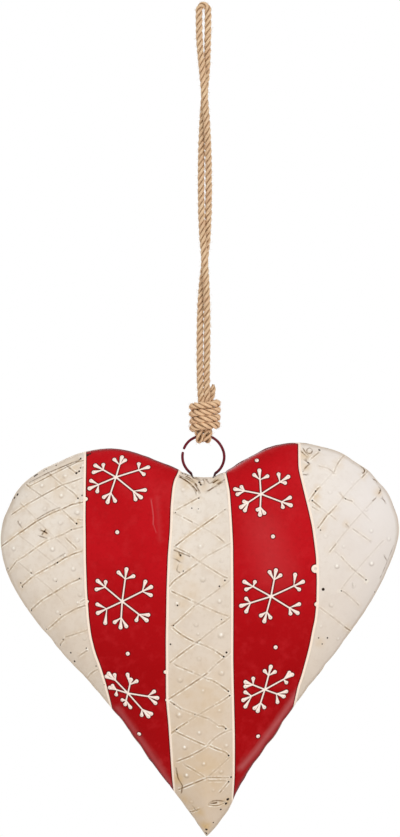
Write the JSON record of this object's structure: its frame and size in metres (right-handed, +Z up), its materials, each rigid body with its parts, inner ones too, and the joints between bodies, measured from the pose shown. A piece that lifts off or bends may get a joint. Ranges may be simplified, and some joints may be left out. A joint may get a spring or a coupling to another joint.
{
  "type": "hanging heart ornament",
  "caption": "Hollow domed tin heart with a pressed lattice and painted stripes, hung by a wire ring from a doubled jute cord.",
  "frame": {"origin": "where a nail or hook bears, inside the top of the cord's loop, in the middle of the heart's thickness", "axes": "+X across the heart to the right as seen from the front, +Y towards the back (the front faces -Y), +Z up along the hanging cord"},
  "size_m": [0.2421, 0.045, 0.5058],
  "materials": {
    "enamelled_tin_front": "aged cream and red enamel on pressed tinplate, satin",
    "enamelled_tin_back": "aged cream and red enamel on pressed tinplate, satin",
    "solder": "dull solder, partly painted over",
    "ring_wire": "dark red-brown lacquered wire",
    "jute": "twisted natural jute, hairy"
  },
  "bodies": {
    "hanging_cord": {"cord_loop": "jute", "cord_tail": "jute", "cord_buried_end": "jute", "cord_wrap": "jute", "cord_bight_left": "jute", "cord_bight_right": "jute"},
    "ring": {"hanging_ring": "ring_wire"},
    "heart": {"front_shell": "enamelled_tin_front", "back_shell": "enamelled_tin_back", "rim_solder": "solder"}
  },
  "joints": [
    {"name": "ring_turn", "type": "hinge", "parent": "hanging_cord", "child": "ring", "pos_m": [0, 0, -0.2731], "axis": [0, 1, 0], "range_deg": [-60, 60]},
    {"name": "heart_swing", "type": "hinge", "parent": "ring", "child": "heart", "pos_m": [0, 0, -0.2829], "axis": [1, 0, 0], "range_deg": [-30, 30]}
  ]
}
